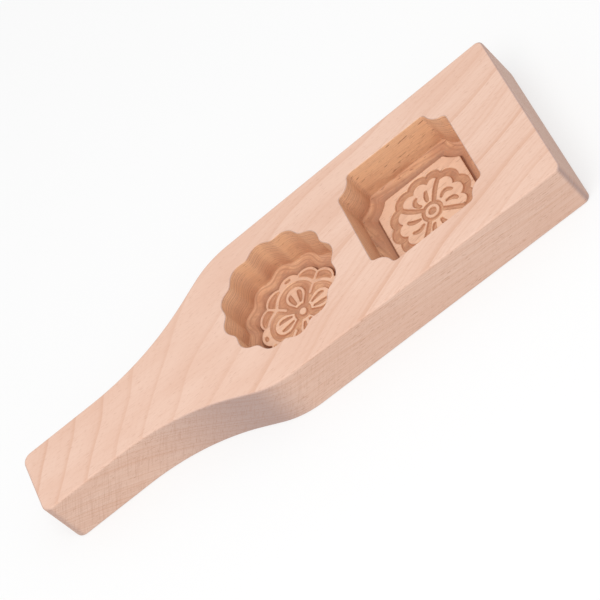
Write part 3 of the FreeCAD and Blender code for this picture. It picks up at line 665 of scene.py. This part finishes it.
class MOULD_OT_plank(bpy.types.Operator):
    """Outer faces of the plank, with an opening for each cavity"""

    bl_idname = "mould.plank"
    bl_label = "Plank"

    def execute(self, context):
        plank = context.scene.mould_plank
        outline = plank_outline(plank)
        ease = plank.edge_radius
        levels = [(ease + FLAT_BESIDE, 0.0)]
        for step in range(plank.edge_steps + 1):
            turn = QUARTER_TURN * step / plank.edge_steps
            levels.append((ease * (1 - math.sin(turn)), ease * (1 - math.cos(turn))))
        levels.append((0.0, ease + FLAT_BESIDE))
        levels += [(inset, THICKNESS - height) for inset, height in reversed(levels)]
        mesh = bmesh.new()
        rings = []
        for inset, height in levels:
            spots = [spot - way * inset for spot, way in outline]
            rings.append([mesh.verts.new((spot.x, spot.y, height)) for spot in spots])
        count = len(outline)
        for low, high in zip(rings[:-1], rings[1:]):
            for i in range(count):
                j = (i + 1) % count
                mesh.faces.new((low[j], low[i], high[i], high[j]))
        mesh.faces.new(rings[0])
        self.upper_face(mesh, rings[-1], context.scene.mould_cavities)
        new_object("plank", mesh)
        return {"FINISHED"}

    def upper_face(self, mesh, ring, cavity):
        """Fill the upper face between its edge and the rims of both cavities."""
        rims = (
            rim_points(cavity, (cavity.round_x, cavity.round_y), round_outline(cavity), cavity.petals),
            rim_points(cavity, (cavity.square_x, cavity.square_y), square_outline(cavity), SQUARE_SIDES),
        )
        loops = [[corner.co for corner in ring]]
        corners = list(ring)
        for spots in rims:
            rim = [mesh.verts.new((x, y, THICKNESS)) for x, y in spots]
            loops.append([corner.co for corner in rim])
            corners += rim
        for a, b, c in tessellate_polygon(loops):
            mesh.faces.new((corners[a], corners[b], corners[c]))


class MOULD_OT_round_cavity(bpy.types.Operator):
    """Round cavity with a scalloped wall and a four-petalled flower"""

    bl_idname = "mould.round_cavity"
    bl_label = "Round Cavity"

    def execute(self, context):
        cavity = context.scene.mould_cavities
        mesh = carved_mesh(cavity, wedge_turns(cavity.petals), round_outline(cavity),
                           round_panel_edge(cavity), round_carving, closed=False)
        wedge = new_object("round_wedge", mesh)
        repeat_wedge(wedge, "round_cavity", cavity.petals, (cavity.round_x, cavity.round_y, 0.0))
        return {"FINISHED"}


class MOULD_OT_square_cavity(bpy.types.Operator):
    """Square cavity with notched corners and a broad flower"""

    bl_idname = "mould.square_cavity"
    bl_label = "Square Cavity"

    def execute(self, context):
        cavity = context.scene.mould_cavities
        mesh = carved_mesh(cavity, np.concatenate(all_turns(SQUARE_SIDES)), square_outline(cavity),
                           square_panel_edge(cavity), square_carving, closed=True)
        bmesh.ops.translate(mesh, verts=mesh.verts, vec=(cavity.square_x, cavity.square_y, 0))
        new_object("square_cavity", mesh)
        return {"FINISHED"}


class MOULD_OT_one_piece(bpy.types.Operator):
    """Weld the plank and both cavities into one closed piece of beech"""

    bl_idname = "mould.one_piece"
    bl_label = "One Piece"

    def execute(self, context):
        mesh = bmesh.new()
        for name in ("plank", "round_cavity", "square_cavity"):
            part = bpy.data.objects[name]
            mesh.from_mesh(part.data)
            bpy.data.objects.remove(part)
        bmesh.ops.remove_doubles(mesh, verts=mesh.verts, dist=WELD)
        bmesh.ops.recalc_face_normals(mesh, faces=mesh.faces)
        open_edges = [edge for edge in mesh.edges if len(edge.link_faces) != 2]
        if open_edges:
            raise RuntimeError("%d edges of the mould are open" % len(open_edges))
        for face in mesh.faces:
            face.smooth = True
        for edge in mesh.edges:
            edge.smooth = edge.calc_face_angle() < CREASE
        mould = new_object("mould", mesh)
        mark_cuts_and_shade(mould.data, context.scene.mould_cavities)
        mould.data.materials.clear()
        mould.data.materials.append(beech())
        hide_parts(NODE)
        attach(mould, "root")
        return {"FINISHED"}


class Graph:
    """Short ways to add and join shader nodes."""

    def __init__(self, tree):
        self.tree = tree

    def node(self, kind, **settings):
        made = self.tree.nodes.new(kind)
        for name, value in settings.items():
            setattr(made, name, value)
        return made

    def feed(self, socket, value):
        if isinstance(value, bpy.types.NodeSocket):
            self.tree.links.new(value, socket)
        else:
            socket.default_value = value

    def math(self, operation, *values):
        made = self.node("ShaderNodeMath", operation=operation)
        for socket, value in zip(made.inputs, values):
            self.feed(socket, value)
        return made.outputs[0]

    def times(self, first, *others):
        for other in others:
            first = self.math("MULTIPLY", first, other)
        return first

    def plus(self, first, second):
        return self.math("ADD", first, second)

    def minus(self, first, second):
        return self.math("SUBTRACT", first, second)

    def larger(self, first, second):
        return self.math("MAXIMUM", first, second)

    def ramp(self, value, low, high, to_low=0.0, to_high=1.0):
        """A smooth step that reaches to_low at low and to_high at high."""
        made = self.node("ShaderNodeMapRange", interpolation_type="SMOOTHSTEP")
        for socket, given in zip(made.inputs, (value, low, high, to_low, to_high)):
            self.feed(socket, given)
        return made.outputs[0]

    def axes(self, vector):
        """Outputs X, Y and Z of a vector."""
        parts = self.node("ShaderNodeSeparateXYZ")
        self.feed(parts.inputs[0], vector)
        return parts.outputs

    def stripes(self, level):
        """Uneven stripes, about one for each unit of a level."""
        made = self.node("ShaderNodeTexNoise", noise_dimensions="1D")
        self.feed(made.inputs["W"], level)
        made.inputs["Scale"].default_value = 1.0
        made.inputs["Detail"].default_value = 2.0
        return made.outputs["Fac"]

    def blend(self, factor, first, second):
        made = self.node("ShaderNodeMix", data_type="RGBA")
        self.feed(made.inputs["Factor"], factor)
        for socket, value in ((made.inputs["A"], first), (made.inputs["B"], second)):
            self.feed(socket, value)
        return made.outputs["Result"]


class WoodGraph(Graph):
    """Nodes of the beech, with what its layers ask about each spot."""

    def __init__(self, tree):
        super().__init__(tree)
        here = self.node("ShaderNodeTexCoord")
        self.spot = here.outputs["Object"]
        self.x, self.y, self.z = self.axes(self.spot)
        facing = self.axes(here.outputs["Normal"])
        self.lengthwise = self.math("ABSOLUTE", facing["X"])
        self.upright = self.ramp(self.math("ABSOLUTE", facing["Z"]), 0.3, 0.95, 1.0, 0.0)
        self.level = self.minus(1.0, self.upright)
        self.on_handle = self.ramp(self.x, -0.03, 0.03, 1.0, 0.35)
        # How rough each spot was cut, together with painted shade in the cavities' hollows.
        self.cut = self.node("ShaderNodeAttribute", attribute_name="cut").outputs["Fac"]
        self.sanded = self.ramp(self.cut, 0.0, 0.2, 1.0, 0.0)
        self.not_sanded = self.ramp(self.cut, 0.0, 0.3)
        # It rises towards the foot of each wall and into the cuts, so the tones it lays there carry painted
        # shade.
        self.low_wall = self.ramp(self.cut, 0.28, 0.6)

    def mottle(self, size, detail=2.0, roughness=0.5, tilt=0.0):
        """Noise with spots of a size in metres along each axis, tilted about the Y axis."""
        place = self.node("ShaderNodeMapping", vector_type="TEXTURE")
        self.feed(place.inputs["Vector"], self.spot)
        place.inputs["Rotation"].default_value = (0.0, tilt, 0.0)
        place.inputs["Scale"].default_value = size
        made = self.node("ShaderNodeTexNoise")
        self.feed(made.inputs["Vector"], place.outputs[0])
        made.inputs["Scale"].default_value = 1.0
        made.inputs["Detail"].default_value = detail
        made.inputs["Roughness"].default_value = roughness
        return made.outputs["Fac"]

    def layers(self, steps):
        """Uneven stripes across parallel layers; steps holds the stripes per metre on each axis."""
        level = self.node("ShaderNodeVectorMath", operation="DOT_PRODUCT")
        self.feed(level.inputs[0], self.spot)
        level.inputs[1].default_value = steps
        return self.stripes(level.outputs["Value"])


def growth(graph):
    """A value that rises by one with each year's growth.

    The years run steeply across the handle and lie almost along the head.
    """
    bend_start, bend_reach, bend_years = -0.0613, 0.0123, 0.505
    years_along = 17.3
    past_bend = graph.math("DIVIDE", graph.minus(graph.x, bend_start), -bend_reach)
    bend = graph.math("LOGARITHM", graph.plus(graph.math("EXPONENT", past_bend), 1.0), math.e)
    along = graph.minus(graph.times(graph.x, years_along), graph.times(bend, bend_years))
    across = graph.times(graph.y, graph.ramp(graph.x, -0.050, 0.133, -36.8, -58.4))
    below = graph.minus(graph.z, THICKNESS)
    deep = graph.times(below, graph.ramp(graph.x, -0.06, 0.02, 125.0, 170.0))
    wander = graph.times(graph.minus(graph.mottle((0.10, 0.05, 0.05), 1.0), 0.5), 1.1)
    return graph.plus(graph.plus(along, across), graph.plus(deep, wander))


def late_wood(graph, years):
    """The thin line that ends each year and the broad tone before it, stronger in some years."""
    year_end = 0.955
    share = graph.math("FRACT", years)
    thin = graph.ramp(share, 0.78, year_end, 0.0, 0.45)
    thin = graph.times(thin, graph.ramp(graph.upright, 0.0, 1.0, 1.0, 0.35))
    broad = graph.ramp(share, 0.15, year_end, 0.0, 0.22)
    fall = graph.ramp(share, year_end, 1.0, 1.0, 0.0)
    luck = graph.node("ShaderNodeTexWhiteNoise", noise_dimensions="1D")
    graph.feed(luck.inputs["W"], graph.math("FLOOR", years))
    strength = graph.ramp(luck.outputs["Value"], 0.0, 1.0, 0.45, 1.0)
    return graph.times(graph.plus(thin, broad), fall, strength)


def cross_grain(graph):
    """How much of the end grain's tone shows: most on slanting faces, less on the ends, whose lighter tone
    is painted light.
    """
    cross = graph.ramp(graph.lengthwise, 0.0, 0.6, 0.0, 0.9)
    # Less on the ends: painted light on the end faces.
    straight = graph.ramp(graph.lengthwise, 0.6, 1.0, 1.0, 0.35)
    handle_end = graph.ramp(graph.x, -0.1495, -0.143, 0.4, 1.0)
    return graph.times(cross, straight, handle_end)


def fine_streaks(graph, years):
    """Fine lines within the years, clear on upright faces and level along the head's sides."""
    streaks_in_year, levelling, neck_end = 9.0, 165.0, -0.02
    fine_years = graph.times(years, streaks_in_year)
    past_neck = graph.larger(graph.minus(graph.x, neck_end), 0.0)
    level_years = graph.minus(fine_years, graph.times(past_neck, levelling))
    top = graph.ramp(graph.stripes(fine_years), 0.47, 0.66)
    side = graph.ramp(graph.stripes(level_years), 0.47, 0.66)
    top = graph.times(top, graph.ramp(graph.on_handle, 0.35, 1.0, 0.22, 0.06), graph.level)
    side = graph.times(side, graph.upright, graph.ramp(graph.lengthwise, 0.1, 0.5, 0.5, 0.8))
    return graph.times(graph.plus(side, top), graph.sanded)


def wall_layers(graph):
    """Nearly level layers of the wood as stripes around the cavities' walls."""
    stripes = graph.ramp(graph.layers((70.0, -130.0, 1350.0)), 0.46, 0.64)
    return graph.times(stripes, graph.ramp(graph.lengthwise, 0.0, 0.5, 0.25, 0.75), graph.not_sanded)


def ledge_contours(graph):
    """Thinner layers that come out as lines along the gently falling ledges."""
    stripes = graph.ramp(graph.layers((70.0, -130.0, 2700.0)), 0.42, 0.6, 0.0, 0.55)
    return graph.times(stripes, graph.ramp(graph.cut, 0.3, 0.42), graph.level)


def dark_marks(graph):
    """Rays on sanded sides, dashes that are clearest on the square cavity's long walls, and pores."""
    ray_tilt, dash_tilt = -0.95, -0.12
    long_rays = graph.ramp(graph.mottle((0.016, 0.0016, 0.0006), 1.0, tilt=ray_tilt), 0.5, 0.72, 0.0, 0.2)
    short_rays = graph.ramp(graph.mottle((0.006, 0.0014, 0.0006), 1.0, tilt=ray_tilt), 0.64, 0.74, 0.0, 0.34)
    rays = graph.times(graph.larger(long_rays, short_rays), graph.upright, graph.on_handle, graph.sanded)
    dashes = graph.ramp(graph.mottle((0.007, 0.0012, 0.0010), 1.0, tilt=dash_tilt), 0.65, 0.72, 0.0, 0.9)
    dashes = graph.times(dashes, graph.not_sanded, graph.ramp(graph.x, 0.03, 0.05, 0.3, 1.0),
                         graph.ramp(graph.lengthwise, 0.2, 0.6, 1.0, 0.3))
    pores = graph.ramp(graph.mottle((0.0035, 0.00045, 0.00045), 1.0), 0.62, 0.74)
    pores = graph.times(pores, graph.ramp(graph.upright, 0.0, 1.0, 0.3, 0.5))
    return graph.larger(graph.larger(rays, dashes), pores)


def wood_colour(graph, fibres, dark):
    """All tones of the beech and of the painted light and shade, each laid over the ones before it."""
    settings = bpy.context.scene.mould_wood
    tones = {name: tuple(getattr(settings, name)) + (1.0,) for name in WoodColours.__annotations__}
    years = growth(graph)
    streaks = fine_streaks(graph, years)
    cross = cross_grain(graph)
    rubbed = graph.ramp(graph.mottle((0.016, 0.010, 0.008)), 0.4, 0.7, 0.0, 0.8)
    torn = graph.ramp(graph.mottle((0.0026, 0.0012, 0.0012), 2.0, 0.6), 0.42, 0.66, 0.0, 0.5)
    torn = graph.times(torn, graph.ramp(graph.cut, 0.35, 0.75))
    coats = (
        (graph.ramp(graph.mottle((0.06, 0.02, 0.02), 3.0), 0.35, 0.7), "warm"),
        # Unsanded wood's tone with painted warm bounce light, inside the cavities.
        (graph.not_sanded, "wall"),
        # Rubbed patches that grow towards the foot of each wall; the growth is painted shade.
        (graph.times(rubbed, graph.low_wall), "scorched"),
        (graph.ramp(fibres, 0.45, 0.8, 0.0, 0.3), "line"),
        (late_wood(graph, years), "line"),
        (graph.larger(streaks, wall_layers(graph)), "line"),
        # Torn wood's tone with painted shade, stronger where the cut is deeper and steeper.
        (graph.ramp(graph.cut, 0.3, 0.95), "carved"),
        (graph.larger(torn, ledge_contours(graph)), "fleck_and_shade"),
        # Painted shade in the fleck's tone at the bottom of the border groove and on the steep sides of
        # cuts.
        (graph.ramp(graph.cut, 0.9, 1.0, 0.0, 0.55), "fleck_and_shade"),
        # Painted shadow, with some scorch, beside the foot of the panels' sides and on the steepest sides of
        # cuts.
        (graph.ramp(graph.cut, 1.0, 1.4, 0.0, 0.85), "corner_shadow_and_scorch"),
        (graph.times(cross, graph.ramp(graph.cut, 0.0, 0.3, 1.0, 0.12)), "end_grain"),
        (graph.times(streaks, cross, 0.3), "fleck_and_shade"),
        # Also stronger towards the foot of the walls, as painted shade.
        (graph.times(cross, graph.low_wall, 0.5), "scorched"),
        (dark, "fleck_and_shade"),
    )
    mixed = tones["pale"]
    for amount, tone in coats:
        mixed = graph.blend(amount, mixed, tones[tone])
    return mixed


def beech():
    """Bare beech: growth lines, rays, pores and fibres, darker where a cutter tore it, with painted shade,
    painted bounce light and painted light.
    """
    found = bpy.data.materials.get("bare_beech")
    if found:
        return found
    wood = bpy.data.materials.new("bare_beech")
    wood.use_nodes = True
    wood.node_tree.nodes.clear()
    graph = WoodGraph(wood.node_tree)
    fibres = graph.mottle((0.009, 0.0005, 0.0005), 3.0, 0.6)
    dark = dark_marks(graph)

    tool_marks = graph.times(graph.mottle((0.003, 0.003, 0.003)), graph.ramp(graph.cut, 0.0, 0.6, 0.2, 2.5))
    height = graph.minus(graph.times(fibres, 0.5), graph.times(dark, 0.6))
    bump = graph.node("ShaderNodeBump")
    bump.inputs["Strength"].default_value = 0.4
    bump.inputs["Distance"].default_value = 0.2 * MM
    graph.feed(bump.inputs["Height"], graph.plus(height, tool_marks))

    surface = graph.node("ShaderNodeBsdfPrincipled")
    surface.inputs["Specular IOR Level"].default_value = 0.25
    graph.feed(surface.inputs["Base Color"], wood_colour(graph, fibres, dark))
    graph.feed(surface.inputs["Roughness"], graph.ramp(fibres, 0.3, 0.8, 0.58, 0.7))
    graph.feed(surface.inputs["Normal"], bump.outputs["Normal"])
    output = graph.node("ShaderNodeOutputMaterial")
    graph.feed(output.inputs["Surface"], surface.outputs["BSDF"])
    return wood


class MOULD_OT_stage(bpy.types.Operator):
    """Pale light table, soft light and the camera"""

    bl_idname = "mould.stage"
    bl_label = "Stage"

    def execute(self, context):
        scene = context.scene
        settings = scene.mould_stage
        scene.view_settings.view_transform = "Standard"
        self.floor(settings)
        self.light(scene, settings)
        self.camera(scene, settings)
        return {"FINISHED"}

    def floor(self, settings):
        mesh = bmesh.new()
        bmesh.ops.create_grid(mesh, x_segments=1, y_segments=1, size=6.0)
        floor = new_object("floor", mesh)
        floor.location.z = -0.1 * MM
        paper = bpy.data.materials.new("pale_paper")
        paper.use_nodes = True
        surface = paper.node_tree.nodes["Principled BSDF"]
        surface.inputs["Base Color"].default_value = tuple(settings.floor_colour) + (1.0,)
        surface.inputs["Roughness"].default_value = 0.9
        surface.inputs["Specular IOR Level"].default_value = 0.1
        surface.inputs["Emission Color"].default_value = (1.0, 1.0, 1.0, 1.0)
        surface.inputs["Emission Strength"].default_value = settings.floor_glow
        floor.data.materials.append(paper)

    def light(self, scene, settings):
        sky = bpy.data.worlds.new("soft_sky")
        sky.use_nodes = True
        background = sky.node_tree.nodes["Background"]
        background.inputs["Color"].default_value = (1.0, 1.0, 1.0, 1.0)
        background.inputs["Strength"].default_value = settings.sky_strength
        scene.world = sky
        lamp = bpy.data.lights.new("key", "AREA")
        lamp.shape = "DISK"
        lamp.size = LAMP_DIAMETER
        lamp.energy = settings.key_power
        key = bpy.data.objects.new("key", lamp)
        key.location = LAMP_SPOT
        key.rotation_euler = (-Vector(LAMP_SPOT)).to_track_quat("-Z", "Y").to_euler()
        scene.collection.objects.link(key)

    def camera(self, scene, settings):
        lens = bpy.data.cameras.new("camera")
        lens.lens = settings.lens
        lens.sensor_width = 36.0
        lens.clip_start = 0.05
        camera = bpy.data.objects.new("camera", lens)
        right = Vector(CAMERA_RIGHT)
        back = -Vector(CAMERA_FORWARD)
        up = back.cross(right).normalized()
        turn = Matrix((right, up, back)).transposed().to_4x4()
        camera.matrix_world = Matrix.Translation(CAMERA_SPOT) @ turn
        scene.collection.objects.link(camera)
        scene.camera = camera


class MOULD_PT_panel(bpy.types.Panel):
    """Sizes, colours and the steps that build the mould"""

    bl_idname = "MOULD_PT_panel"
    bl_label = "Mooncake Mould"
    bl_space_type = "VIEW_3D"
    bl_region_type = "UI"
    bl_category = "Mooncake Mould"

    def draw(self, context):
        for step in STEPS:
            self.layout.operator(step.bl_idname)
        for group in GROUPS:
            box = self.layout.box()
            settings = getattr(context.scene, group)
            for name in settings.__annotations__:
                box.prop(settings, name)


STEPS = (MOULD_OT_plank, MOULD_OT_round_cavity, MOULD_OT_square_cavity, MOULD_OT_one_piece,
         MOULD_OT_stage)
GROUPS = {"mould_plank": PlankSizes, "mould_cavities": CavitySizes, "mould_wood": WoodColours,
          "mould_stage": StageSettings}


def register():
    for made in (*GROUPS.values(), *STEPS, MOULD_PT_panel):
        bpy.utils.register_class(made)
    for name, group in GROUPS.items():
        setattr(bpy.types.Scene, name, PointerProperty(type=group))


def unregister():
    for name in GROUPS:
        delattr(bpy.types.Scene, name)
    for made in reversed((*GROUPS.values(), *STEPS, MOULD_PT_panel)):
        bpy.utils.unregister_class(made)


def main():
    register()
    bpy.ops.mould.plank()
    bpy.ops.mould.round_cavity()
    bpy.ops.mould.square_cavity()
    bpy.ops.mould.one_piece()
    bpy.ops.mould.stage()


if __name__ == "__main__":
    main()
